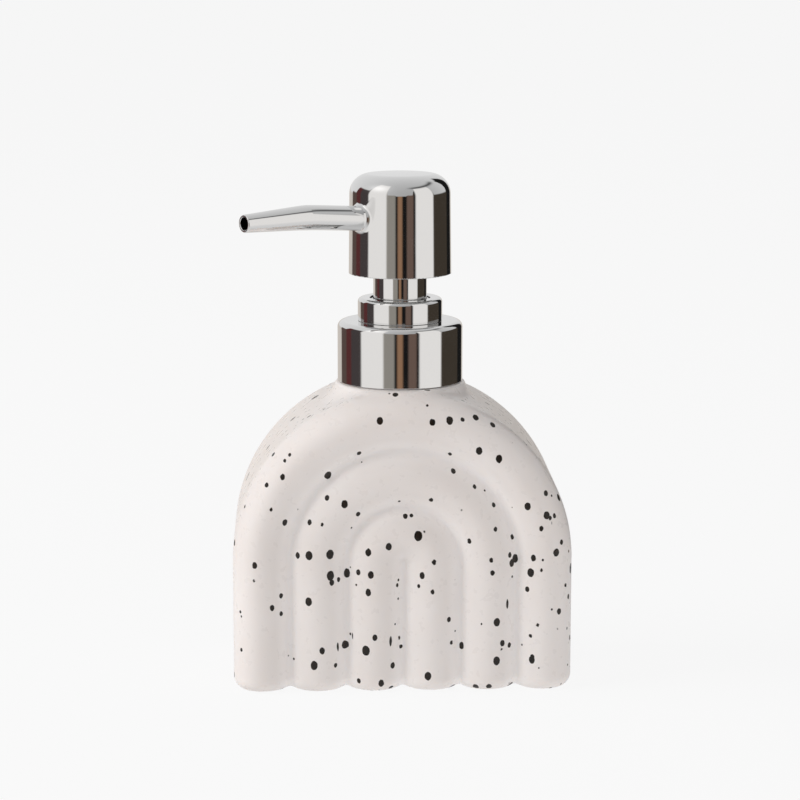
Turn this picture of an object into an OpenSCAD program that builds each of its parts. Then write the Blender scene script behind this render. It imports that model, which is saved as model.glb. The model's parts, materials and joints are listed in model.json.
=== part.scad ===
// Countertop detergent dispenser: a hollow ceramic arch bottle with banded faces
// and a hand pump whose head slides down over its collar.
// Frame: +Z up, front towards -Y, origin at the centre of the foot on the surface it stands on.

/* [Bottle] */
// Width of the arch, side to side
body_w = 90; // [84:1:100]
// Height of the straight legs under the arch
leg_h = 35; // [32:1:45]
// Thickness of the bottle, front to back
body_d = 50; // [48:1:56]
// Depth of the grooves between the bands
groove_d = 4; // [3:0.5:4.5]
// Ceramic wall
wall = 4; // [3.5:0.5:4.5]
// Round along the outer foot edge
foot_r = 3.5; // [2:0.5:4]

/* [Pump] */
// Direction of the spout, from the bottle's left side towards the front
spout_angle = 36; // [0:1:90]
// Travel of the head when pressed
stroke = 12; // [8:0.5:12]
// Outer diameter of the screw closure
closure_d = 33.5; // [33:0.5:35]
// Height of the screw closure
closure_h = 15.9; // [15.5:0.1:17]
// Outer diameter of the head
head_d = 27.4; // [26.5:0.1:29]
// Height of the head
head_h = 26.7; // [26:0.1:30]
// Reach of the spout from the pump's axis
spout_reach = 50.6; // [44:0.2:60]
// Lead of the neck thread
thread_pitch = 4.2; // [4:0.1:4.3]

/* [Hidden] */
$fn = 96;
eps = 0.01;

// Colours of the materials
glaze = [0.90, 0.87, 0.86];
chrome = [0.80, 0.80, 0.80];
natural_plastic = [0.93, 0.93, 0.91];
soft_plastic = [0.85, 0.88, 0.90];
steel = [0.65, 0.66, 0.68];
rubber = [0.35, 0.35, 0.36];

// Bands of the bottle: three concentric arches, so six bands across the legs
bands = 3;
band_w = body_w / (2 * bands);
band_r = (pow(band_w / 2, 2) + pow(groove_d, 2)) / (2 * groove_d);
edge_r = band_w / 2;
arch_r = body_w / 2;
crest_y = body_d / 2;

// Cavity
floor_t = 5;
cavity_r = arch_r - wall;
cavity_y = crest_y - groove_d - wall;
cavity_round = 6;

// Underside of the foot
recess_d = 0.8;
recess_inset = 8;

// Neck
pad_r = 17.4;
pad_z = leg_h + arch_r + 0.2;
mouth_r = 11.6;
insert_plug_r = 11.5;
insert_plug_l = 5;
insert_flange_r = 13.2;
insert_flange_t = 1;
insert_r = 12.4;
insert_bore_r = 10;
insert_h = 12;
insert_top = pad_z + insert_h;

// Thread between the neck and the closure
thread_turns = 1.5;
neck_crest_r = 13.6;
neck_thread_z = pad_z + 3.4;
closure_bore_r = 13.9;
closure_crest_r = 12.75;
thread_gap = 1.5;

// Clamped stack above the neck: gasket, housing flange, closure top
gasket_t = 1.2;
flange_r = 12.2;
flange_z = insert_top + gasket_t;
flange_t = 1.4;
closure_z = pad_z + 0.3;
closure_r = closure_d / 2;
closure_top = closure_z + closure_h;
shell_t = 0.6;
closure_hole_r = 9.2;

// Housing
barrel_r = 7.6;
housing_r = 8.6;
housing_top = closure_top + 3.3;
barrel_z = flange_z - 31.5;
chamber_r = 3.4;
seat_z = barrel_z - 7.5;
seat_h = 2.5;
seat_r = 1.7;
socket_top = seat_z - 1.5;
socket_z = socket_top - 10;
socket_r = 3.7;

// Foot valve
ball_r = 2.4;
ball_z = seat_z + 1.83;
cage_t = 1.2;
cage_r = 7.4;

// Dip tube
tube_r = 2.5;
tube_bore_r = 1.8;
tube_z = floor_t + 1.5;

// Collar that holds the stem, above the closure
chaplet_z = closure_top + 0.2;
chaplet_h = 6;
chaplet_r = 11.3;
chaplet_top = chaplet_z + chaplet_h;
sleeve_r = 7.15;
sleeve_bore_r = 6.6;
sleeve_z = chaplet_z + 0.9;
wiper_z = chaplet_top - 2.1;
wiper_t = 0.9;

// Head
head_r = head_d / 2;
head_z = chaplet_top + 6.5;
head_top = head_z + head_h;
head_round = 5;
head_wall = 0.9;
plate_z = head_z + 7;
plate_t = 2.5;
socket_fit_r = 3.65;
boss_r = 6.5;
boss_top = head_z + 20;

// Spout: rises from the head, bends and tapers to the tip
spout_z = head_z + 15.5;
spout_root_r = 3.35;
spout_tip_r = 2.3;
spout_bore_r = 2.35;
tip_bore_r = 1.85;
spout_bend = 31;
spout_rise = 4.8;
spout_drop = 1;
elbow_swell = 0.12;
core_bore_r = 3;
liner_r = 2.0;
liner_bore_r = 1.5;

// Stem and piston
stem_r = 3.6;
stem_bore_r = 2.2;
piston_h = 6;
valve_play = 1.2;
lower_stem_z = flange_z - 8.5;
lower_flange_t = 1.2;
piston_z = lower_stem_z + lower_flange_t + 0.05;
stem_collar_z = piston_z + piston_h + valve_play + 0.05;
spring_z = barrel_z + cage_t + 0.15;
spring_top = lower_stem_z - 0.1;
spring_coil_r = 4.4;
spring_wire_r = 0.45;
spring_turns = 8;

// ---- Shared shapes ----

// A ring of a lathe part: radii in, out and heights from, to
module tube(r_in, r_out, z_from, z_to) {
    translate([0, 0, z_from])
        difference() {
            cylinder(r = r_out, h = z_to - z_from);
            translate([0, 0, -1]) cylinder(r = r_in, h = z_to - z_from + 2);
        }
}

// A cup turned upside down, with its upper edge rounded
module rounded_cap(r, z_from, z_to, edge) {
    translate([0, 0, z_from])
        rotate_extrude()
            intersection() {
                union() {
                    square([r, z_to - z_from - edge]);
                    square([r - edge, z_to - z_from]);
                    translate([r - edge, z_to - z_from - edge]) circle(r = edge);
                }
                square([r + 1, z_to - z_from + 1]);
            }
}

// Section through one flank of a thread, at full height or run out to the root
function thread_ring(r_base, r_crest, w_base, w_crest, a, z, depth) =
    let (r_top = r_base + (r_crest - r_base) * depth)
    [
        [r_base * cos(a), r_base * sin(a), z - w_base / 2],
        [r_top * cos(a), r_top * sin(a), z - w_crest / 2],
        [r_top * cos(a), r_top * sin(a), z + w_crest / 2],
        [r_base * cos(a), r_base * sin(a), z + w_base / 2]
    ];

// Triangles that skin a row of closed rings and cap both ends
function skin_faces(rings, sides) = concat(
    [[for (k = [sides - 1 : -1 : 0]) k]],
    [for (i = [0 : rings - 2], k = [0 : sides - 1])
        let (n = (k + 1) % sides, a = i * sides, b = (i + 1) * sides)
        each [[a + k, a + n, b + n], [a + k, b + n, b + k]]],
    [[for (k = [0 : sides - 1]) (rings - 1) * sides + k]]
);

module thread(r_base, r_crest, w_base, w_crest, z) {
    steps = 54;
    run_out = 4;
    rings = [for (i = [0 : steps])
        let (
            ends = min(i, steps - i) / run_out,
            depth = 0.45 + 0.55 * min(1, ends),
            a = 360 * thread_turns * i / steps
        )
        thread_ring(r_base, r_crest, w_base, w_crest, a, z + thread_pitch * a / 360, depth)];
    faces = skin_faces(len(rings), 4);
    polyhedron(
        points = [for (ring = rings) each ring],
        faces = r_crest > r_base ? faces : [for (f = faces) [for (k = [len(f) - 1 : -1 : 0]) f[k]]],
        convexity = 8
    );
}

// ---- Bottle ----

// Right half of the bottle's section: x from the arch's axis, y front to back
module half_section() {
    intersection() {
        union() {
            square([arch_r, crest_y - edge_r]);
            for (i = [0 : bands - 1])
                intersection() {
                    translate([(i + 0.5) * band_w, crest_y - band_r]) circle(r = band_r);
                    square([i == bands - 1 ? arch_r - edge_r : arch_r, body_d]);
                }
            translate([arch_r - edge_r, crest_y - edge_r]) circle(r = edge_r);
        }
        square([arch_r, crest_y]);
    }
}

module whole_half_section() {
    union() {
        half_section();
        mirror([0, 1]) half_section();
    }
}

module cavity_half_section() {
    c = cavity_round;
    union() {
        translate([0, -cavity_y]) square([cavity_r - c, 2 * cavity_y]);
        translate([0, c - cavity_y]) square([cavity_r, 2 * (cavity_y - c)]);
        for (s = [-1, 1])
            translate([cavity_r - c, s * (cavity_y - c)]) circle(r = c);
    }
}

// Half of a turned body on top of two straight legs
module arch_body(z_from) {
    translate([0, 0, leg_h])
        rotate([90, 0, 0]) rotate_extrude(angle = 180) children();
    translate([0, 0, z_from])
        linear_extrude(height = leg_h - z_from)
            union() {
                children();
                mirror([1, 0]) children();
            }
}

// Envelope that rounds the foot's edge along one pair of sides
module foot_envelope(half_width, length) {
    top = pad_z + 1;
    rotate([90, 0, 0])
        translate([0, 0, -length / 2])
            linear_extrude(height = length)
                union() {
                    translate([-half_width, foot_r]) square([2 * half_width, top - foot_r]);
                    translate([foot_r - half_width, 0]) square([2 * (half_width - foot_r), top]);
                    for (s = [-1, 1])
                        translate([s * (half_width - foot_r), foot_r]) circle(r = foot_r);
                }
}

module bottle() {
    color(glaze)
        difference() {
            union() {
                intersection() {
                    arch_body(0) whole_half_section();
                    foot_envelope(arch_r, body_d + 2);
                    rotate([0, 0, 90]) foot_envelope(crest_y, body_w + 2);
                }
                translate([0, 0, pad_z - 8]) cylinder(r = pad_r, h = 8);
            }
            arch_body(floor_t) cavity_half_section();
            translate([0, 0, pad_z - 12]) cylinder(r = mouth_r, h = 14);
            translate([recess_inset - arch_r, recess_inset - crest_y, -1])
                cube([body_w - 2 * recess_inset, body_d - 2 * recess_inset, 1 + recess_d]);
        }
}

// Threaded neck, glued into the ceramic mouth
module neck_insert() {
    color(natural_plastic)
        union() {
            tube(insert_bore_r, insert_plug_r, pad_z - insert_plug_l, pad_z + eps);
            tube(insert_bore_r, insert_flange_r, pad_z, pad_z + insert_flange_t);
            difference() {
                union() {
                    translate([0, 0, pad_z + insert_flange_t / 2])
                        cylinder(r = insert_r, h = insert_h - insert_flange_t / 2);
                    thread(insert_r - 0.3, neck_crest_r, 2.2, 1.0, neck_thread_z);
                }
                translate([0, 0, pad_z]) cylinder(r = insert_bore_r, h = insert_h + 1);
            }
        }
}

// ---- Closure ----

module closure_core() {
    core_r = closure_r - shell_t - 0.05;
    color(natural_plastic)
        union() {
            difference() {
                translate([0, 0, closure_z + 0.1])
                    cylinder(r = core_r, h = closure_h - shell_t - 0.15);
                translate([0, 0, closure_z - 1])
                    cylinder(r = closure_bore_r, h = flange_z + flange_t + 0.1 - closure_z + 1);
                translate([0, 0, closure_z]) cylinder(r = closure_hole_r, h = closure_h);
            }
            thread(closure_bore_r + 0.3, closure_crest_r, 2.0, 0.9, neck_thread_z - thread_gap);
        }
}

module closure_shell() {
    color(chrome)
        difference() {
            rounded_cap(closure_r, closure_z, closure_top, 1.3);
            translate([0, 0, closure_z - 1])
                cylinder(r = closure_r - shell_t, h = closure_h - shell_t + 1);
            translate([0, 0, closure_z]) cylinder(r = closure_hole_r, h = closure_h + 1);
        }
}

// ---- Pump body: hangs in the bottle from its flange ----

module flange_gasket() {
    color(rubber) tube(housing_r + 0.1, flange_r, insert_top, flange_z);
}

module pump_housing() {
    color(natural_plastic)
        rotate_extrude()
            polygon([
                [barrel_r, housing_top], [housing_r, housing_top],
                [housing_r, flange_z + flange_t], [flange_r, flange_z + flange_t],
                [flange_r, flange_z], [housing_r, flange_z],
                [housing_r, barrel_z], [housing_r - 1.2, barrel_z - 1.4],
                [chamber_r + 1.4, barrel_z - 1.6], [chamber_r + 1.4, seat_z],
                [socket_r, seat_z - 1.2], [socket_r, socket_z],
                [tube_r + 0.03, socket_z], [tube_r + 0.03, socket_top],
                [seat_r, socket_top], [seat_r, seat_z],
                [chamber_r, seat_z + seat_h], [chamber_r, barrel_z],
                [barrel_r, barrel_z]
            ]);
}

// Spider on the barrel's floor: seats the spring and keeps the ball in its chamber
module valve_cage() {
    post_z = ball_z + ball_r + 1.6;
    color(natural_plastic)
        translate([0, 0, barrel_z + 0.02])
            union() {
                tube(chamber_r - 0.2, cage_r, 0, cage_t);
                for (a = [0, 90])
                    rotate([0, 0, a])
                        translate([-chamber_r, -0.6, 0]) cube([2 * chamber_r, 1.2, cage_t]);
                translate([0, 0, post_z - barrel_z]) cylinder(r = 1, h = barrel_z - post_z + cage_t);
            }
}

module check_ball() {
    color(steel) translate([0, 0, ball_z]) sphere(r = ball_r);
}

module dip_tube() {
    color(soft_plastic)
        difference() {
            tube(tube_bore_r, tube_r, tube_z, socket_top - 0.05);
            // The foot is cut at a slant so that it can't seal on the floor
            translate([0, 0, tube_z]) rotate([0, 35, 0]) translate([-10, -10, -8]) cube([20, 20, 8]);
        }
}

module chaplet_core() {
    core_r = chaplet_r - shell_t + 0.02;
    guide_r = sleeve_r + 0.1;
    color(natural_plastic)
        rotate_extrude()
            polygon([
                [housing_r + 0.05, chaplet_z + 0.1], [core_r, chaplet_z + 0.1],
                [core_r, chaplet_top - shell_t - 0.02], [guide_r, chaplet_top - shell_t - 0.02],
                [guide_r, wiper_z + wiper_t + 0.05], [sleeve_r + 1.3, wiper_z + wiper_t + 0.05],
                [sleeve_r + 1.3, wiper_z - 0.05], [guide_r, wiper_z - 0.05],
                [guide_r, housing_top + 0.05], [housing_r + 0.05, housing_top + 0.05]
            ]);
}

module chaplet_shell() {
    color(chrome)
        difference() {
            rounded_cap(chaplet_r, chaplet_z, chaplet_top, 0.9);
            translate([0, 0, chaplet_z - 1])
                cylinder(r = chaplet_r - shell_t + 0.05, h = chaplet_h - shell_t + 1);
            translate([0, 0, chaplet_z]) cylinder(r = sleeve_r + 0.2, h = chaplet_h + 1);
        }
}

module stem_wiper() {
    color(rubber) tube(sleeve_r + 0.05, sleeve_r + 1.25, wiper_z, wiper_z + wiper_t);
}

// ---- Plunger: spring, lower stem and the piston that slips on the stem ----

function spring_ring(a, z, sides) =
    [for (k = [0 : sides - 1])
        let (b = 360 * k / sides, r = spring_coil_r + spring_wire_r * cos(b))
        [r * cos(a), r * sin(a), z + spring_wire_r * sin(b)]];

module return_spring() {
    sides = 8;
    steps_per_turn = 20;
    steps = spring_turns * steps_per_turn;
    z_low = spring_z + spring_wire_r;
    rise = spring_top - spring_z - 2 * spring_wire_r;
    closed = 1 / spring_turns;
    // The end coils lie flat, as on a closed and ground compression spring
    function height(t) = rise * (
        t < closed ? 0.3 * closed * t / closed
        : t > 1 - closed ? 1 - 0.3 * closed * (1 - t) / closed
        : 0.3 * closed + (1 - 0.6 * closed) * (t - closed) / (1 - 2 * closed)
    );
    rings = [for (i = [0 : steps])
        spring_ring(360 * i / steps_per_turn, z_low + height(i / steps), sides)];
    color(steel)
        polyhedron(
            points = [for (ring = rings) each ring],
            faces = skin_faces(len(rings), sides),
            convexity = 10
        );
}

module lower_stem() {
    skirt_l = 4;
    shank_l = 10;
    z = lower_stem_z;
    color(natural_plastic)
        union() {
            translate([0, 0, z]) cylinder(r = 5.6, h = lower_flange_t);
            translate([0, 0, z - skirt_l]) cylinder(r1 = 2.6, r2 = 3.4, h = skirt_l + eps);
            // Cross-shaped shank: the detergent rises past it into the stem
            intersection() {
                translate([0, 0, z]) cylinder(r = stem_bore_r - 0.05, h = shank_l);
                union()
                    for (a = [0, 90])
                        rotate([0, 0, a]) translate([-3, -0.6, z]) cube([6, 1.2, shank_l + 1]);
            }
        }
}

module piston() {
    r = barrel_r - 0.05;
    z = piston_z;
    color(soft_plastic)
        rotate_extrude()
            polygon([
                [stem_r + 0.05, z], [r - 1.3, z], [r - 0.2, z - 1.0], [r, z - 0.6],
                [r - 0.4, z + 1.6], [r - 0.4, z + 3.6], [r, z + piston_h - 0.2],
                [r - 0.3, z + piston_h], [r - 1.3, z + 3.6], [stem_r + 1.3, z + 3.6],
                [stem_r + 1.3, z + piston_h], [stem_r + 0.05, z + piston_h]
            ]);
}

// ---- Head: stem, sleeve, core and the plated shell with its spout ----

module upper_stem() {
    color(natural_plastic)
        union() {
            tube(stem_bore_r, stem_r, piston_z + valve_play, plate_z + plate_t);
            tube(stem_bore_r, stem_r + 1.4, stem_collar_z, stem_collar_z + 1.5);
        }
}

module stem_sleeve() {
    color(chrome) tube(sleeve_bore_r, sleeve_r, sleeve_z, plate_z - 0.05);
}

// Places a shape's +Z along the spout from the axis, at a slope above the horizontal
module towards_spout(reach, z, slope) {
    rotate([0, 0, 180 + spout_angle])
        translate([reach, 0, z]) rotate([0, 90 - slope, 0]) children();
}

function spout_run_z(reach) = spout_z + (reach - head_r) * tan(spout_rise);

// The spout's solid, or its bore, as two straight runs and a round elbow
module spout_run(root_r, tip_r, start, end) {
    bend_z = spout_run_z(spout_bend);
    out = end - spout_bend;
    towards_spout(start, spout_run_z(start), spout_rise)
        cylinder(r = root_r, h = (spout_bend - start) / cos(spout_rise));
    towards_spout(spout_bend, bend_z, 0) sphere(r = root_r + elbow_swell);
    towards_spout(spout_bend, bend_z, -spout_drop)
        cylinder(r1 = root_r, r2 = tip_r, h = out / cos(spout_drop));
}

module head_core() {
    rib_w = 1.2;
    rib_h = 4.5;
    foot_z = chaplet_top + 2;
    inner_r = head_r - head_wall - 0.05;
    color(natural_plastic)
        difference() {
            union() {
                translate([0, 0, foot_z]) cylinder(r = boss_r, h = boss_top - foot_z);
                translate([0, 0, plate_z]) cylinder(r = inner_r, h = plate_t);
                for (a = [45 : 90 : 315])
                    rotate([0, 0, a + spout_angle])
                        translate([boss_r - 1, -rib_w / 2, plate_z + 1])
                            cube([inner_r - boss_r + 0.5, rib_w, plate_t + rib_h - 1]);
            }
            translate([0, 0, foot_z - 1]) cylinder(r = socket_fit_r, h = plate_z + plate_t + 0.05 - foot_z + 1);
            translate([0, 0, plate_z]) cylinder(r = core_bore_r, h = spout_z + 2.6 - plate_z);
            towards_spout(1, spout_run_z(1), spout_rise) cylinder(r = liner_r + 0.05, h = head_r);
        }
}

module head_shell() {
    color(chrome)
        difference() {
            union() {
                rounded_cap(head_r, head_z, head_top, head_round);
                spout_run(spout_root_r, spout_tip_r, head_r - 4, spout_reach);
            }
            rounded_cap(head_r - head_wall, head_z - 1, head_top - head_wall, head_round - head_wall);
            spout_run(spout_bore_r, tip_bore_r, head_r - 6, spout_reach + 0.2);
        }
}

// Soft tube that carries the detergent from the core into the spout
module nozzle_liner() {
    color(soft_plastic)
        towards_spout(3.6, spout_run_z(3.6), spout_rise)
            tube(liner_bore_r, liner_r, 0, spout_bend - 5.6);
}

bottle();
neck_insert();
closure_core();
closure_shell();
flange_gasket();
pump_housing();
valve_cage();
check_ball();
dip_tube();
chaplet_core();
chaplet_shell();
stem_wiper();
return_spring();
lower_stem();
piston();
upper_stem();
stem_sleeve();
head_core();
head_shell();
nozzle_liner();
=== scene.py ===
"""The looks of a ceramic detergent dispenser with a chromed hand pump, built around its CAD frame."""

import json
import math

import bpy
import numpy as np
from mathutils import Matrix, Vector


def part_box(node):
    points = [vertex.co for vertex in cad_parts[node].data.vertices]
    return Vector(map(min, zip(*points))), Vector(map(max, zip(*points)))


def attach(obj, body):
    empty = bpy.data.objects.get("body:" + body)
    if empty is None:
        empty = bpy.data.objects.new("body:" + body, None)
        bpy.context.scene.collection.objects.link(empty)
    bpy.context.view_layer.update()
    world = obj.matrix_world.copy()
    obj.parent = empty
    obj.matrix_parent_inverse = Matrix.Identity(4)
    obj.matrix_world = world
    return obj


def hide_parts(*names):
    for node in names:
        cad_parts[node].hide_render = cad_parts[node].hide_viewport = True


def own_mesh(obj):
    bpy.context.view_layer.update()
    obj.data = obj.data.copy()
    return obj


MM = 0.001

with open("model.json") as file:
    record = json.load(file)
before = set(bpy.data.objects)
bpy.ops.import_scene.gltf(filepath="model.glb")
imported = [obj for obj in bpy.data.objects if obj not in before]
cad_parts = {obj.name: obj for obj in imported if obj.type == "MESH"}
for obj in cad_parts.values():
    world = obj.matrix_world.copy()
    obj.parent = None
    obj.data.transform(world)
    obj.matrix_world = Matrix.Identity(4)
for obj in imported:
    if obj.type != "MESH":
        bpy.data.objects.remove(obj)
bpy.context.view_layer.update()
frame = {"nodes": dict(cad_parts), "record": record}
NODES = frame["nodes"]


# ---- Sizes, in millimetres, read from the frame where it has them ----

def lowest(node):
    return [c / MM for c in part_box(node)[0]]


def highest(node):
    return [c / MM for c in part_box(node)[1]]


BODY_R = highest("bottle")[0]
CREST_Y = highest("bottle")[1]
PAD_Z = highest("bottle")[2]
PAD_RISE = 0.2
LEG_H = PAD_Z - BODY_R - PAD_RISE
BANDS = 3
BAND_W = BODY_R / BANDS
GROOVE_D = 4.0
BAND_R = ((BAND_W / 2) ** 2 + GROOVE_D ** 2) / (2 * GROOVE_D)
EDGE_R = BAND_W / 2
FOOT_R = 3.5
WALL = 4.0
FLOOR = 5.0
CAVITY_Y = CREST_Y - GROOVE_D - WALL
CAVITY_ROUND = 6.0
VALLEY = 1.8
PAD_R = 17.2
PAD_ROUND = 0.9
PAD_FILLET = 5.0
PAD_DEPTH = 14.0
MOUTH_R = 11.6
MOUTH_DEPTH = 12.0
RECESS_INSET = 8.0
RECESS_DEPTH = 0.8
RECESS_CORNER = 4.0

CLOSURE_R = highest("closure_shell")[0]
CLOSURE_Z = lowest("closure_shell")[2]
CLOSURE_TOP = highest("closure_shell")[2]
CHAPLET_R = highest("chaplet_shell")[0]
CHAPLET_Z = lowest("chaplet_shell")[2]
CHAPLET_TOP = highest("chaplet_shell")[2]
SLEEVE_R = highest("stem_sleeve")[0]
SLEEVE_Z = lowest("stem_sleeve")[2]
SLEEVE_TOP = highest("stem_sleeve")[2]
SHELL_T = 0.6
CLOSURE_HOLE_R = 9.2
CLOSURE_DROP = 0.2
COLLAR_DROP = 0.15

HEAD_R = highest("head_shell")[1]
HEAD_Z = lowest("head_shell")[2]
HEAD_TOP = highest("head_shell")[2]
HEAD_ROUND = 5.0
HEAD_WALL = 0.9
SPOUT_ANGLE = math.radians(36)
SPOUT_Z = HEAD_Z + 15.5
SPOUT_RISE = math.radians(4.8)
SPOUT_DROP = math.radians(1)
SPOUT_BEND = 31.0
SPOUT_REACH = 50.6
SPOUT_ROOT_R = 3.25
SPOUT_TIP_R = 2.3
SPOUT_WALL = 0.65
SPOUT_SOFTNESS = 1.4
SPOUT_FILLET = 1.3
SPOUT_BURIED = 6.0
HEAD_TAPER = 0.3
HEAD_DOME = 0.35

SPRING_Z = lowest("return_spring")[2]
SPRING_TOP = highest("return_spring")[2]
SPRING_WIRE = 0.45
SPRING_COIL_R = highest("return_spring")[0] - SPRING_WIRE
SPRING_TURNS = 8


# ---- Distance fields: negative inside, in millimetres ----

def smooth_union(a, b, k):
    """Union whose inner corner is rounded over a width of about k."""
    h = np.maximum(k - np.abs(a - b), 0) / k
    return np.minimum(a, b) - h * h * k / 4


def smooth_cut(a, b, k):
    """What is in a and not in b, with the new edge rounded over a width of about k."""
    return -smooth_union(-a, b, k)


def round_both(a, b, radius):
    """What is in both a and b, with a true fillet of that radius where they meet."""
    inner = np.minimum(np.maximum(a, b), -radius)
    return inner + np.hypot(np.maximum(a + radius, 0), np.maximum(b + radius, 0))


def band(r, y, centre):
    """One raised band of the face, as a round bar that follows the arch."""
    return np.hypot(r - centre, y - (CREST_Y - BAND_R)) - BAND_R


def outer_band(r, y):
    """The band along the rim: banded on its inner side, and a plain bullnose on its outer side."""
    side = CREST_Y - EDGE_R
    edge = np.hypot(np.maximum(r - (BODY_R - EDGE_R), 0), np.maximum(y - side, 0)) - EDGE_R
    return np.where(r < BODY_R - EDGE_R, band(r, y, BODY_R - EDGE_R), edge)


def arch_radius(x, z):
    """Distance from the arch's axis, or in the legs from the middle plane."""
    return np.where(z > LEG_H, np.hypot(x, z - LEG_H), np.abs(x))


def bottle_outside(x, y, z):
    """The arch with its bands, front and back, and the round pad that the neck stands on."""
    r = arch_radius(x, z)
    front = np.abs(y)
    core = np.maximum(r - BODY_R, front - (CREST_Y - EDGE_R))
    bands = outer_band(r, front)
    for i in range(BANDS - 2, -1, -1):
        bands = smooth_union(bands, band(r, front, (i + 0.5) * BAND_W), VALLEY)
    bands = smooth_union(bands, band(r, front, -0.5 * BAND_W), VALLEY)
    body = round_both(np.minimum(core, bands), -z, FOOT_R)
    flat = np.hypot(x, y)
    pad = round_both(flat - PAD_R, z - PAD_Z, PAD_ROUND)
    pad = np.maximum(pad, PAD_Z - PAD_DEPTH - z)
    return smooth_cut(smooth_union(body, pad, PAD_FILLET), PAD_Z - z, 0.5)


def bottle_cavity(x, y, z):
    """The hollow that holds the liquid."""
    r = arch_radius(x, z)
    over_r = r - (BODY_R - WALL - CAVITY_ROUND)
    over_y = np.abs(y) - (CAVITY_Y - CAVITY_ROUND)
    section = np.hypot(np.maximum(over_r, 0), np.maximum(over_y, 0))
    section = section + np.minimum(np.maximum(over_r, over_y), 0) - CAVITY_ROUND
    return round_both(section, FLOOR - z, 4.0)


def bottle_field(x, y, z):
    """The whole bottle: hollow, open at the mouth, and recessed under the foot."""
    mouth = np.maximum(np.hypot(x, y) - MOUTH_R, PAD_Z - MOUTH_DEPTH - z)
    hollow = smooth_union(bottle_cavity(x, y, z), mouth, 2.0)
    over_x = np.abs(x) - (BODY_R - RECESS_INSET) + RECESS_CORNER
    over_y = np.abs(y) - (CREST_Y - RECESS_INSET) + RECESS_CORNER
    foot = np.hypot(np.maximum(over_x, 0), np.maximum(over_y, 0))
    foot = foot + np.minimum(np.maximum(over_x, over_y), 0) - RECESS_CORNER
    recess = round_both(foot, z - RECESS_DEPTH, 0.5)
    body = smooth_cut(bottle_outside(x, y, z), hollow, 0.8)
    return smooth_cut(body, recess, 0.6)


def spout_line(u):
    """Height of the spout's axis at reach u: a straight rise, a soft bend, and a slight fall."""
    bend = SPOUT_SOFTNESS * np.logaddexp(0, (u - SPOUT_BEND) / SPOUT_SOFTNESS)
    fall = math.tan(SPOUT_RISE) + math.tan(SPOUT_DROP)
    return SPOUT_Z + (u - HEAD_R) * math.tan(SPOUT_RISE) - bend * fall


def spout_radius(u):
    """Outer radius of the spout at reach u: even up to the bend, then tapering to the tip."""
    taper = np.clip((u - SPOUT_BEND) / (SPOUT_REACH - SPOUT_BEND), 0, 1)
    return SPOUT_ROOT_R - (SPOUT_ROOT_R - SPOUT_TIP_R) * taper


def head_cap(flat, z, radius, low, top, edge):
    """A round cap that narrows slightly upwards, with a domed top and a rounded upper edge."""
    crown = top - HEAD_DOME * (flat / radius) ** 2
    side = flat - radius + HEAD_TAPER * (z - low) / (top - low)
    return round_both(np.maximum(side, low - z), z - crown, edge)


def head_field(u, v, z):
    """The head and its spout, hollow from below and through the spout: u is along the spout, v across it."""
    flat = np.hypot(u, v)
    off_axis = np.hypot(v, (z - spout_line(u)) * math.cos(SPOUT_RISE))
    cap = head_cap(flat, z, HEAD_R, HEAD_Z, HEAD_TOP, HEAD_ROUND)
    spout = round_both(off_axis - spout_radius(u), u - SPOUT_REACH, 0.3)
    spout = np.maximum(spout, HEAD_R - SPOUT_BURIED - u)
    outside = smooth_union(cap, spout, SPOUT_FILLET)
    hollow = head_cap(
        flat, z, HEAD_R - HEAD_WALL, HEAD_Z - 2, HEAD_TOP - HEAD_WALL, HEAD_ROUND - HEAD_WALL)
    bore = np.maximum(off_axis - (spout_radius(u) - SPOUT_WALL), HEAD_R - SPOUT_BURIED - u)
    return smooth_cut(outside, np.minimum(hollow, bore), 0.25)


# ---- Meshing ----

def gradient(field, points, step=0.02):
    """Direction in which the distance grows fastest, at each point."""
    found = np.empty_like(points)
    for axis in range(3):
        ahead, behind = points.copy(), points.copy()
        ahead[:, axis] += step
        behind[:, axis] -= step
        found[:, axis] = (field(*ahead.T) - field(*behind.T)) / (2 * step)
    return found


def surface(field, low, high, step):
    """Corners and quads of the surface where the field is zero, by surface nets on a grid."""
    axes = [np.arange(a - 1.5 * step, b + 1.6 * step, step) for a, b in zip(low, high)]
    grid = field(*np.meshgrid(*axes, indexing="ij"))
    inside = grid < 0
    cells = np.array(inside.shape) - 1
    total = np.zeros(tuple(cells) + (3,))
    count = np.zeros(tuple(cells))
    quads = []
    for axis in range(3):
        a, b = [slice(None)] * 3, [slice(None)] * 3
        a[axis], b[axis] = slice(None, -1), slice(1, None)
        start, end = grid[tuple(a)], grid[tuple(b)]
        crossed = inside[tuple(a)] != inside[tuple(b)]
        index = np.argwhere(crossed)
        share = start[crossed] / (start[crossed] - end[crossed])
        spot = index.astype(float)
        spot[:, axis] += share
        p, q = [k for k in range(3) if k != axis]
        around = []
        for dp, dq in ((0, 0), (1, 0), (1, 1), (0, 1)):
            cell = index.copy()
            cell[:, p] -= dp
            cell[:, q] -= dq
            np.add.at(total, tuple(cell.T), spot)
            np.add.at(count, tuple(cell.T), 1)
            around.append(np.ravel_multi_index(cell.T, cells))
        ring = np.stack(around, axis=1)
        flip = inside[tuple(a)][crossed] == (axis == 1)
        ring[flip] = ring[flip][:, ::-1]
        quads.append(ring)
    used = count.ravel() > 0
    number = np.cumsum(used) - 1
    corners = total.reshape(-1, 3)[used] / count.ravel()[used][:, None]
    corners = corners * step + np.array([axis[0] for axis in axes])
    for _ in range(4):
        slope = gradient(field, corners)
        away = field(*corners.T) / np.maximum((slope ** 2).sum(1), 0.25)
        corners = corners - slope * np.clip(away, -step / 2, step / 2)[:, None]
    return corners, number[np.concatenate(quads)]


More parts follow.
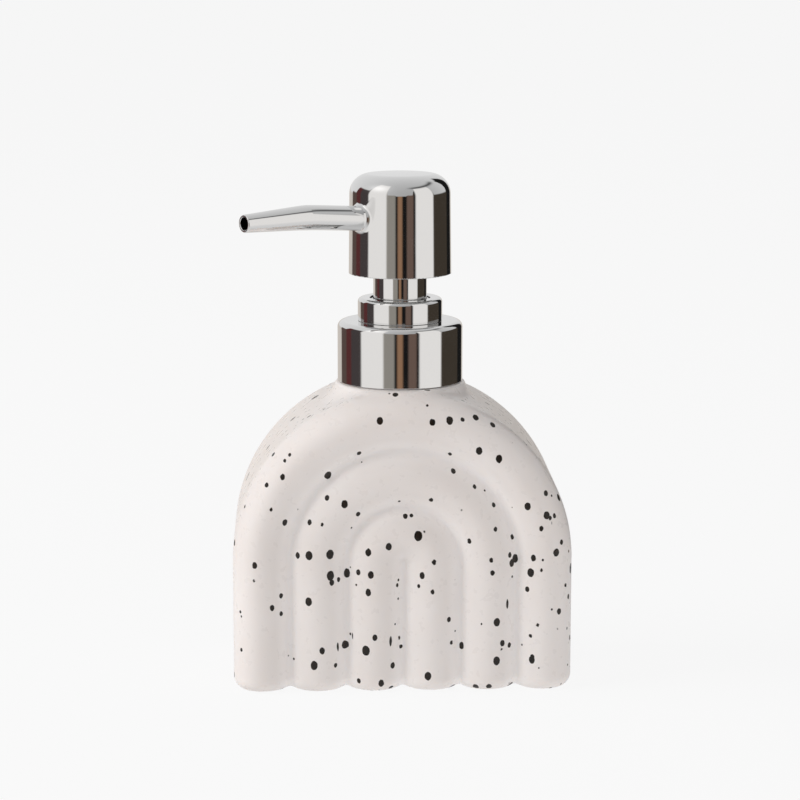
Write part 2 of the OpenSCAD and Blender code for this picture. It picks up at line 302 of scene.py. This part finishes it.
def mesh_piece(name, corners, faces, normals=None):
    """A smooth-shaded object from corners in millimetres."""
    mesh = bpy.data.meshes.new(name)
    mesh.from_pydata([tuple(c) for c in corners * MM], [], [tuple(f) for f in faces])
    mesh.update()
    mesh.polygons.foreach_set("use_smooth", [True] * len(mesh.polygons))
    if normals is not None:
        mesh.normals_split_custom_set_from_vertices([tuple(n) for n in normals])
    piece = bpy.data.objects.new(name, mesh)
    bpy.context.scene.collection.objects.link(piece)
    return piece


def field_piece(name, field, low, high, step, turn=0.0):
    """Meshes a distance field, then turns it about the vertical axis."""
    corners, quads = surface(field, low, high, step)
    normals = gradient(field, corners)
    normals = normals / np.linalg.norm(normals, axis=1)[:, None]
    c, s = math.cos(turn), math.sin(turn)
    spin = np.array([[c, s, 0], [-s, c, 0], [0, 0, 1]])
    return mesh_piece(name, corners @ spin, quads, normals @ spin)


FILLET_STEPS = 6
LATHE_STEPS = 192


def rounded_outline(points):
    """A closed outline with filleted corners, as (r, z, normal r, normal z) from points (r, z, fillet)."""
    outline = []
    for i, (r, z, fillet) in enumerate(points):
        corner = Vector((r, z))
        before = (Vector(points[i - 1][:2]) - corner).normalized()
        after = (Vector(points[(i + 1) % len(points)][:2]) - corner).normalized()
        half = before.angle(after) / 2
        centre = corner + (before + after).normalized() * fillet / math.sin(half)
        first = (corner + before * fillet / math.tan(half) - centre).normalized()
        last = (corner + after * fillet / math.tan(half) - centre).normalized()
        for k in range(FILLET_STEPS + 1):
            spoke = first.slerp(last, k / FILLET_STEPS)
            outline.append((*(centre + spoke * fillet), *spoke))
    return outline


def lathe(name, points):
    """A turned piece: a closed outline, counter-clockwise in (r, z), swept round the vertical axis."""
    outline = rounded_outline(points)
    count = len(outline)
    corners, normals, faces = [], [], []
    for i in range(LATHE_STEPS):
        a = 2 * math.pi * i / LATHE_STEPS
        c, s = math.cos(a), math.sin(a)
        corners += [(r * c, r * s, z) for r, z, _, _ in outline]
        normals += [(nr * c, nr * s, nz) for _, _, nr, nz in outline]
        here, there = i * count, (i + 1) % LATHE_STEPS * count
        for k in range(count):
            n = (k + 1) % count
            faces.append((here + k, there + k, there + n, here + n))
    return mesh_piece(name, np.array(corners), faces, normals)


# ---- Materials ----

class Nodes:
    """A short way to write a material's node tree."""

    def __init__(self, name):
        self.material = bpy.data.materials.new(name)
        self.material.use_nodes = True
        self.tree = self.material.node_tree
        self.shader = self.tree.nodes["Principled BSDF"]

    def add(self, kind, **settings):
        node = self.tree.nodes.new(kind)
        for key, value in settings.items():
            setattr(node, key, value)
        return node

    def link(self, value, socket):
        if isinstance(value, bpy.types.NodeSocket):
            self.tree.links.new(value, socket)
        else:
            socket.default_value = value

    def set(self, **values):
        for key, value in values.items():
            self.link(value, self.shader.inputs[key.replace("_", " ")])

    def math(self, operation, a, b=0.0):
        node = self.add("ShaderNodeMath", operation=operation)
        self.link(a, node.inputs[0])
        self.link(b, node.inputs[1])
        return node.outputs[0]

    def multiply_add(self, value, factor, addend):
        node = self.add("ShaderNodeMath", operation="MULTIPLY_ADD")
        self.link(value, node.inputs[0])
        self.link(factor, node.inputs[1])
        self.link(addend, node.inputs[2])
        return node.outputs[0]

    def ramp(self, value, low, high, to_low=0.0, to_high=1.0):
        node = self.add("ShaderNodeMapRange", interpolation_type="SMOOTHSTEP")
        self.link(value, node.inputs["Value"])
        self.link(low, node.inputs["From Min"])
        self.link(high, node.inputs["From Max"])
        self.link(to_low, node.inputs["To Min"])
        self.link(to_high, node.inputs["To Max"])
        return node.outputs["Result"]

    def mix(self, share, a, b):
        node = self.add("ShaderNodeMix", data_type="RGBA")
        self.link(share, node.inputs["Factor"])
        self.link(a, node.inputs["A"])
        self.link(b, node.inputs["B"])
        return node.outputs["Result"]

    def place(self, scale=(1, 1, 1), shift=(0, 0, 0)):
        """Position on the object in millimetres, stretched by scale."""
        where = self.add("ShaderNodeTexCoord").outputs["Object"]
        node = self.add("ShaderNodeMapping")
        self.link(where, node.inputs["Vector"])
        node.inputs["Scale"].default_value = [s / MM for s in scale]
        node.inputs["Location"].default_value = shift
        return node.outputs["Vector"]

    def noise(self, where, scale, detail=2.0):
        node = self.add("ShaderNodeTexNoise")
        self.link(where, node.inputs["Vector"])
        node.inputs["Scale"].default_value = scale
        node.inputs["Detail"].default_value = detail
        return node

    def bump(self, height, distance_mm, strength=1.0):
        node = self.add("ShaderNodeBump")
        node.inputs["Strength"].default_value = strength
        node.inputs["Distance"].default_value = distance_mm * MM
        self.link(height, node.inputs["Height"])
        self.set(Normal=node.outputs["Normal"])


# Added to the share of cells that hold a speck: at the middle of the foot, for each millimetre to the right
# of it, and, taken away, for each millimetre above it
SHARE_AT_FOOT = 0.12
MORE_TO_RIGHT = 0.0035
MORE_BELOW = 0.0030
# A layer of specks is moved along X by its shift, so that no two layers match. Along Y and Z it is moved by
# these times its shift
SHIFT_Y, SHIFT_Z = 1.7, 0.6


def speckles(m, cell, size, chance, stretch=1.0, shift=0.0, ragged=0.25):
    """Specks scattered through the glaze, one in each cell of a 3-D Voronoi pattern where chance allows.

    They are thickest low down on the right, and thinner on the narrow sides than on the two broad faces.
    """
    where = m.place((1, 1, 1 / stretch), (shift, shift * SHIFT_Y, shift * SHIFT_Z))
    wobble = m.noise(where, 1.6, 2.0)
    offset = m.add("ShaderNodeVectorMath", operation="SUBTRACT")
    m.link(wobble.outputs["Color"], offset.inputs[0])
    offset.inputs[1].default_value = (0.5, 0.5, 0.5)
    moved = m.add("ShaderNodeVectorMath", operation="MULTIPLY_ADD")
    m.link(offset.outputs[0], moved.inputs[0])
    moved.inputs[1].default_value = (ragged, ragged, ragged)
    m.link(where, moved.inputs[2])
    cells = m.add("ShaderNodeTexVoronoi")
    m.link(moved.outputs[0], cells.inputs["Vector"])
    cells.inputs["Scale"].default_value = 1 / cell
    own = m.add("ShaderNodeSeparateColor")
    m.link(cells.outputs["Color"], own.inputs[0])
    centre = m.add("ShaderNodeSeparateXYZ")
    m.link(cells.outputs["Position"], centre.inputs[0])
    at_foot = chance + SHARE_AT_FOOT - MORE_TO_RIGHT * shift + MORE_BELOW * SHIFT_Z * shift * stretch
    to_right = m.multiply_add(centre.outputs["X"], MORE_TO_RIGHT, at_foot)
    wanted = m.multiply_add(centre.outputs["Z"], -MORE_BELOW * stretch, to_right)
    depth = m.math("ABSOLUTE", m.math("SUBTRACT", centre.outputs["Y"], SHIFT_Y * shift))
    allowed = m.math("MULTIPLY", wanted, m.ramp(depth, CREST_Y - 9, CREST_Y - 4, 0.45, 1.0))
    distance = m.math("MULTIPLY", cells.outputs["Distance"], cell)
    radius = m.multiply_add(own.outputs["Red"], size * 0.35, size * 0.8)
    present = m.math("LESS_THAN", own.outputs["Green"], allowed)
    edge = m.math("SUBTRACT", distance, radius)
    spot = m.ramp(edge, -0.08, 0.0, 1.0, 0.0)
    return m.math("MULTIPLY", spot, present)


def painted_groove_light(m, where):
    """How much painted light lifts the glaze: 1 along each groove between the bands, and 0 on their crests.

    The paler colour is painted light, put there to offset the shade that gathers in the grooves.
    """
    spot = m.add("ShaderNodeSeparateXYZ")
    m.link(where, spot.inputs[0])
    above = m.math("MAXIMUM", m.math("SUBTRACT", spot.outputs["Z"], LEG_H), 0.0)
    across = m.multiply_add(spot.outputs["X"], spot.outputs["X"], m.math("MULTIPLY", above, above))
    r = m.math("SQRT", across)
    off_groove = m.math("PINGPONG", r, BAND_W / 2)
    inside_rim = m.math("LESS_THAN", r, BODY_R - BAND_W / 2)
    return m.math("MULTIPLY", m.ramp(off_groove, 0.0, 4.2, 1.0, 0.0), inside_rim)


def glaze():
    """Warm white satin glaze over stoneware, with near-black iron specks and painted light along the grooves.
    """
    m = Nodes("speckled_glaze")
    where = m.place()
    tone = m.noise(where, 0.035, 3.0).outputs[0]
    thin = m.mix(m.ramp(tone, 0.35, 0.65), (0.725, 0.674, 0.648, 1), (0.750, 0.703, 0.680, 1))
    # Painted light: along the grooves the glaze is mixed halfway towards a paler colour, to offset the shade
    # there
    base = m.mix(m.math("MULTIPLY", painted_groove_light(m, where), 0.5), thin, (0.91, 0.875, 0.86, 1))
    big = speckles(m, cell=4.5, size=1.02, chance=0.62, stretch=1.3)
    middle = speckles(m, cell=4.1, size=0.68, chance=0.46, stretch=1.25, shift=31.0)
    small = speckles(m, cell=3.5, size=0.36, chance=0.45, stretch=1.15, shift=57.0, ragged=0.12)
    streaks = speckles(m, cell=4.5, size=0.48, chance=0.22, stretch=3.4, shift=83.0)
    dark = m.math("MAXIMUM", m.math("MAXIMUM", big, middle), m.math("MAXIMUM", small, streaks))
    grain = m.noise(where, 2.2, 2.0).outputs[0]
    ink = m.mix(m.ramp(grain, 0.35, 0.7), (0.004, 0.002, 0.001, 1), (0.017, 0.009, 0.004, 1))
    m.set(Base_Color=m.mix(dark, base, ink))
    m.set(Roughness=m.ramp(m.noise(where, 0.5, 2.0).outputs[0], 0.3, 0.7, 0.27, 0.33))
    m.set(IOR=1.43, Coat_Weight=0.1, Coat_Roughness=0.14)
    m.set(Subsurface_Weight=0.55, Subsurface_Radius=(1.0, 0.9, 0.8), Subsurface_Scale=3.0 * MM)
    ripple = m.noise(where, 0.14, 1.0).outputs[0]
    m.bump(m.multiply_add(dark, -0.10, ripple), 0.10, 0.5)
    return m.material


def chrome():
    """Bright chrome plate: almost a mirror, with the faint waviness and haze of a polished pressing."""
    m = Nodes("chrome_plate")
    where = m.place()
    haze = m.noise(where, 0.12, 3.0).outputs[0]
    m.set(Base_Color=(0.80, 0.80, 0.80, 1), Metallic=1.0)
    m.set(Roughness=m.ramp(haze, 0.3, 0.7, 0.035, 0.075))
    m.bump(m.noise(where, 0.09, 1.0).outputs[0], 0.02, 0.5)
    return m.material


def plastic(name, colour, roughness, translucent=0.0):
    """Moulded polymer: fine spark-eroded grain and slight flow marks."""
    m = Nodes(name)
    where = m.place()
    flow = m.noise(m.place((1, 1, 0.25)), 0.3, 2.0).outputs[0]
    darker = tuple(c * 0.93 for c in colour) + (1,)
    m.set(Base_Color=m.mix(m.ramp(flow, 0.3, 0.7), tuple(colour) + (1,), darker))
    m.set(Roughness=m.ramp(flow, 0.3, 0.7, roughness - 0.04, roughness + 0.04))
    m.set(Transmission_Weight=translucent, IOR=1.5)
    m.bump(m.noise(where, 6.0, 2.0).outputs[0], 0.01, 0.5)
    return m.material


def drawn_steel():
    """Stainless wire and bearing steel, with fine drawing lines."""
    m = Nodes("drawn_steel")
    lines = m.noise(m.place((8, 8, 1)), 1.0, 2.0).outputs[0]
    m.set(Base_Color=(0.56, 0.56, 0.57, 1), Metallic=1.0)
    m.set(Roughness=m.ramp(lines, 0.3, 0.7, 0.20, 0.34))
    m.bump(lines, 0.004, 0.5)
    return m.material


def rubber():
    """Moulded rubber with a slightly mottled, matt skin."""
    m = Nodes("seal_rubber")
    where = m.place()
    mottle = m.noise(where, 0.8, 3.0).outputs[0]
    m.set(Base_Color=m.mix(mottle, (0.030, 0.030, 0.031, 1), (0.050, 0.049, 0.048, 1)))
    m.set(Roughness=m.ramp(mottle, 0.3, 0.7, 0.60, 0.72))
    m.bump(m.noise(where, 5.0, 2.0).outputs[0], 0.01, 0.6)
    return m.material


MATERIALS = {
    "glaze": glaze(),
    "chrome": chrome(),
    "white_plastic": plastic("moulded_polypropylene", (0.82, 0.82, 0.80), 0.38),
    "soft_plastic": plastic("soft_polyethylene", (0.74, 0.79, 0.83), 0.42, 0.15),
    "clear_plastic": plastic("translucent_polyethylene", (0.84, 0.87, 0.88), 0.28, 0.6),
    "steel": drawn_steel(),
    "seal": rubber(),
}


def dress(piece, slot):
    piece.data.materials.clear()
    piece.data.materials.append(MATERIALS[slot])


def finish_piece(piece, slot, body, *nodes):
    """Gives a new piece its material, hangs it on its body and lets it stand for its CAD nodes."""
    dress(piece, slot)
    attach(piece, body)
    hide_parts(*nodes)


# ---- Pieces ----

def make_bottle():
    step = 0.6
    low, high = (-BODY_R, -CREST_Y, 0), (BODY_R, CREST_Y, PAD_Z)
    piece = field_piece("glazed_bottle", bottle_field, low, high, step)
    finish_piece(piece, "glaze", "bottle", "bottle")


def make_head():
    """The head with its spout, meshed along X and then turned to the spout's direction."""
    low = (-HEAD_R, -HEAD_R, HEAD_Z)
    high = (SPOUT_REACH, HEAD_R, HEAD_TOP)
    piece = field_piece("plated_head", head_field, low, high, 0.25, math.pi + SPOUT_ANGLE)
    finish_piece(piece, "chrome", "head", "head_shell")


def make_closure():
    """The skin of the screw closure, open below and with a hole for the collar above."""
    inner, hole, foot = CLOSURE_R - SHELL_T, CLOSURE_HOLE_R, CLOSURE_Z - CLOSURE_DROP
    piece = lathe("plated_closure", [
        (inner, foot, 0.15), (CLOSURE_R, foot, 0.15),
        (CLOSURE_R, CLOSURE_TOP, 1.7), (hole, CLOSURE_TOP, 0.2),
        (hole, CLOSURE_TOP - SHELL_T, 0.15), (inner, CLOSURE_TOP - SHELL_T, 0.4),
    ])
    finish_piece(piece, "chrome", "closure", "closure_shell")


def make_collar():
    """The collar's top stops short of the sleeve, and a ledge in the gap closes it."""
    inner, mouth, hole = CHAPLET_R - SHELL_T + 0.05, SLEEVE_R + 0.9, SLEEVE_R + 0.15
    ledge, foot = CHAPLET_TOP - 0.4, CHAPLET_Z - COLLAR_DROP
    piece = lathe("plated_collar", [
        (inner, foot, 0.1), (CHAPLET_R, foot, 0.1),
        (CHAPLET_R, CHAPLET_TOP, 1.2), (mouth, CHAPLET_TOP, 0.25), (mouth, ledge, 0.05),
        (hole, ledge, 0.05), (hole, CHAPLET_TOP - SHELL_T, 0.05), (inner, CHAPLET_TOP - SHELL_T, 0.3),
    ])
    finish_piece(piece, "chrome", "pump", "chaplet_shell")


def make_sleeve():
    """The bright tube that slides in and out of the collar."""
    inner = SLEEVE_R - 0.55
    piece = lathe("plated_sleeve", [
        (inner, SLEEVE_Z, 0.12), (SLEEVE_R, SLEEVE_Z, 0.25),
        (SLEEVE_R, SLEEVE_TOP, 0.12), (inner, SLEEVE_TOP, 0.12),
    ])
    finish_piece(piece, "chrome", "head", "stem_sleeve")


def make_spring():
    """Round wire in a helix whose end turns lie almost flat, cut off square."""
    sides, per_turn = 14, 40
    steps = SPRING_TURNS * per_turn
    closed = 1 / SPRING_TURNS
    rise = SPRING_TOP - SPRING_Z - 2 * SPRING_WIRE
    corners, faces = [], []
    for i in range(steps + 1):
        t = i / steps
        if t < closed:
            height = 0.3 * t
        elif t > 1 - closed:
            height = 1 - 0.3 * (1 - t)
        else:
            height = 0.3 * closed + (1 - 0.6 * closed) * (t - closed) / (1 - 2 * closed)
        a = 2 * math.pi * i / per_turn
        for k in range(sides):
            b = 2 * math.pi * k / sides
            r = SPRING_COIL_R + SPRING_WIRE * math.cos(b)
            z = SPRING_Z + SPRING_WIRE + rise * height + SPRING_WIRE * math.sin(b)
            corners.append((r * math.cos(a), r * math.sin(a), z))
    for i in range(steps):
        for k in range(sides):
            n = (k + 1) % sides
            faces.append((i * sides + k, i * sides + n, (i + 1) * sides + n, (i + 1) * sides + k))
    faces.append(tuple(range(sides))[::-1])
    faces.append(tuple(steps * sides + k for k in range(sides)))
    piece = mesh_piece("coil_spring", np.array(corners), faces)
    finish_piece(piece, "steel", "pump", "return_spring")
    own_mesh(piece)


make_bottle()
make_head()
make_closure()
make_collar()
make_sleeve()
make_spring()

for part in frame["record"]["subparts"]:
    dress(NODES[part["node"]], part["material_slot"])


# ---- Studio ----

BACKGROUND = 0.93
LIGHTS_AIM = (0, 0, 0.06)


def emission(name, colour):
    material = bpy.data.materials.new(name)
    material.use_nodes = True
    tree = material.node_tree
    tree.nodes.clear()
    glow = tree.nodes.new("ShaderNodeEmission")
    glow.inputs["Color"].default_value = tuple(colour) + (1,)
    output = tree.nodes.new("ShaderNodeOutputMaterial")
    tree.links.new(glow.outputs[0], output.inputs["Surface"])
    return material


def grey(level):
    return (level, level, level)


VIEW_FROM = math.radians(-2.2)
WHITE = (0.90, 0.88, 0.86)
LINEN = (0.65, 0.60, 0.55)
SMOKE = (0.30, 0.28, 0.25)
UMBER = (0.10, 0.07, 0.06)
MAROON = (0.10, 0.03, 0.03)
SLATE = (0.06, 0.05, 0.05)
COPPER = (0.30, 0.17, 0.10)
COCOA = (0.15, 0.10, 0.08)
BARK = (0.05, 0.04, 0.03)
COAL = (0.01, 0.01, 0.01)
# Cards round the studio for the chrome to mirror, in front of linen walls. Each has the bearing where it
# starts, in degrees from the camera with + to the right, its colour, and the elevation of its upper edge
CARDS = [
    (-135, UMBER, 5), (-115, MAROON, 25), (-100, SLATE, 25), (-75, WHITE, 60), (-30, SMOKE, 10),
    (-10, COAL, 5), (-5, COPPER, 5), (5, COAL, 5), (15, COCOA, 10), (30, COAL, 30), (35, WHITE, 45),
    (80, BARK, 5), (130, COAL, 40), (155, LINEN, 0),
]
CARD_EDGE = 2.5
RAIL_AT, RAIL_WIDTH, RAIL_DARKNESS = 49, 4.5, 0.85
LAMP_AT, LAMP_BEARING, LAMP_LEVEL = 42, -60, 0.35
TABLE_LEVEL = 0.72


def smooth_step(value, low, high):
    """0 at low and 1 at high, easing in and out. Low may be the greater of the two."""
    t = np.clip((value - low) / (high - low), 0, 1)
    return t * t * (3 - 2 * t)


def studio_colour(bearing, elevation):
    """Colour in a direction: cards, a pale ceiling, a lamp at the upper left and a dark rail on the right."""
    card, top = np.array(LINEN)[:, None] * np.ones_like(bearing), np.zeros_like(bearing)
    for start, colour, height in CARDS:
        share = smooth_step(bearing, start - CARD_EDGE, start + CARD_EDGE)
        card = card + (np.array(colour)[:, None] - card) * share
        top = top + (height - top) * share
    b, e = np.radians(bearing), np.radians(elevation)
    # The ceiling is darkest towards the camera and to the right, and evens out overhead
    ceiling = 0.62 - (0.16 * np.cos(b) + 0.08 * np.sin(b)) * np.cos(e)
    rail = np.exp(-((elevation - RAIL_AT) / RAIL_WIDTH) ** 2)
    rail = rail * smooth_step(bearing, 12, 45) * smooth_step(bearing, 136, 112)
    lamp = LAMP_LEVEL * np.exp(-((elevation - LAMP_AT) / 14) ** 2 - ((bearing - LAMP_BEARING) / 24) ** 2)
    over = smooth_step(elevation, top - 1.5, top + 3)
    return (card + (ceiling - card) * over) * (1 - RAIL_DARKNESS * rail) + lamp


def only_for_shiny_surfaces(obj):
    """Reflected in chrome and glaze, and seen by nothing else."""
    obj.visible_camera = False
    obj.visible_diffuse = False
    obj.visible_transmission = False
    obj.visible_shadow = False


def attribute_glow(name):
    """Emission in the colour painted on the mesh's corners."""
    material = emission(name, grey(1.0))
    tree = material.node_tree
    paint = tree.nodes.new("ShaderNodeAttribute")
    paint.attribute_name = "paint"
    tree.links.new(paint.outputs["Color"], tree.nodes["Emission"].inputs["Color"])
    return material


def make_reflections():
    """The cards, the ceiling that closes their ring and the table they shine on, as one shell."""
    radius, eye, table_z = 0.40, 0.12, 0.0005
    bearings = np.arange(-180.0, 180.0)
    foot = math.degrees(math.atan((table_z - eye) / radius))
    foot_colour = studio_colour(bearings, foot)
    rings = []
    for reach in (0.001, 0.08, 0.16, 0.24, 0.32):
        share = smooth_step(reach, 0.05, radius)
        colour = TABLE_LEVEL + (foot_colour - TABLE_LEVEL) * share
        rings.append((reach, table_z, colour))
    for rise in [foot, -12, -8, -4] + [1.5 * k for k in range(61)]:
        e = math.radians(rise)
        away = radius / max(math.cos(e), math.cos(math.pi / 6))
        rings.append((away * math.cos(e), eye + away * math.sin(e), studio_colour(bearings, rise)))
    corners, faces = [], []
    for row, (reach, z, _) in enumerate(rings):
        for k in range(360):
            a = math.radians(k - 180) + VIEW_FROM
            corners.append((reach * math.sin(a), -reach * math.cos(a), z))
            if row:
                n = (k + 1) % 360
                base = (row - 1) * 360
                faces.append((base + k, base + 360 + k, base + 360 + n, base + n))
    paint = [colour.T for _, _, colour in rings]
    mesh = bpy.data.meshes.new("reflection_cards")
    mesh.from_pydata(corners, [], faces)
    rgba = np.ones((len(corners), 4))
    rgba[:, :3] = np.concatenate(paint)
    colours = mesh.color_attributes.new("paint", "FLOAT_COLOR", "POINT")
    colours.data.foreach_set("color", rgba.ravel())
    mesh.materials.append(attribute_glow("reflection_cards"))
    cards = bpy.data.objects.new("reflection_cards", mesh)
    bpy.context.scene.collection.objects.link(cards)
    only_for_shiny_surfaces(cards)


def make_backdrop():
    """A plain pale surround that only the camera sees, so every view has the same background."""
    bpy.ops.mesh.primitive_uv_sphere_add(radius=40, segments=32, ring_count=16)
    dome = bpy.context.object
    dome.name = "backdrop"
    dome.data.materials.append(emission("backdrop", grey(BACKGROUND)))
    for ray in ("diffuse", "glossy", "transmission", "shadow", "volume_scatter"):
        setattr(dome, f"visible_{ray}", False)


def make_floor():
    """A plain pale floor that reaches nearly to the backdrop."""
    size = 38.0
    mesh = bpy.data.meshes.new("floor")
    corners = [(-size, -size, 0), (size, -size, 0), (size, size, 0), (-size, size, 0)]
    mesh.from_pydata(corners, [], [(0, 1, 2, 3)])
    floor = bpy.data.objects.new("floor", mesh)
    bpy.context.scene.collection.objects.link(floor)
    m = Nodes("pale_floor")
    m.set(Base_Color=(0.06, 0.06, 0.06, 1), Roughness=0.9, Specular_IOR_Level=0.0)
    m.set(Emission_Color=(1, 1, 1, 1), Emission_Strength=0.895)
    mesh.materials.append(m.material)


def area_light(name, place, size, power):
    """A soft lamp turned towards the bottle. The chrome and the glaze mirror the cards instead of it."""
    light = bpy.data.lights.new(name, "AREA")
    light.shape = "RECTANGLE"
    light.size, light.size_y = size
    light.energy = power
    lamp = bpy.data.objects.new(name, light)
    lamp.visible_glossy = False
    lamp.location = place
    lamp.rotation_euler = (Vector(LIGHTS_AIM) - Vector(place)).to_track_quat("-Z", "Y").to_euler()
    bpy.context.scene.collection.objects.link(lamp)


def make_world():
    """Even light from all round."""
    world = bpy.data.worlds.new("pale_studio")
    world.use_nodes = True
    background = world.node_tree.nodes["Background"]
    background.inputs["Color"].default_value = (0.43, 0.43, 0.43, 1)
    background.inputs["Strength"].default_value = 1.0
    bpy.context.scene.world = world


def make_camera():
    """Stands 0.7 m from the pump's axis, a little to the left, and looks slightly down."""
    distance, height, pitch = 0.700, 0.201, math.radians(10.24)
    lens = bpy.data.cameras.new("camera")
    lens.lens, lens.sensor_width = 118.8, 36.0
    lens.clip_start, lens.clip_end = 0.05, 60.0
    camera = bpy.data.objects.new("camera", lens)
    camera.location = (distance * math.sin(VIEW_FROM), -distance * math.cos(VIEW_FROM), height)
    camera.rotation_euler = (math.pi / 2 - pitch, 0, VIEW_FROM)
    bpy.context.scene.collection.objects.link(camera)
    bpy.context.scene.camera = camera


make_world()
make_floor()
make_backdrop()
make_reflections()
area_light("key", (-1.28, -0.22, 0.80), (0.9, 0.9), 16.0)
area_light("fill", (0.22, -1.46, 0.45), (1.0, 1.0), 4.6)
make_camera()
bpy.context.scene.view_settings.view_transform = "Standard"
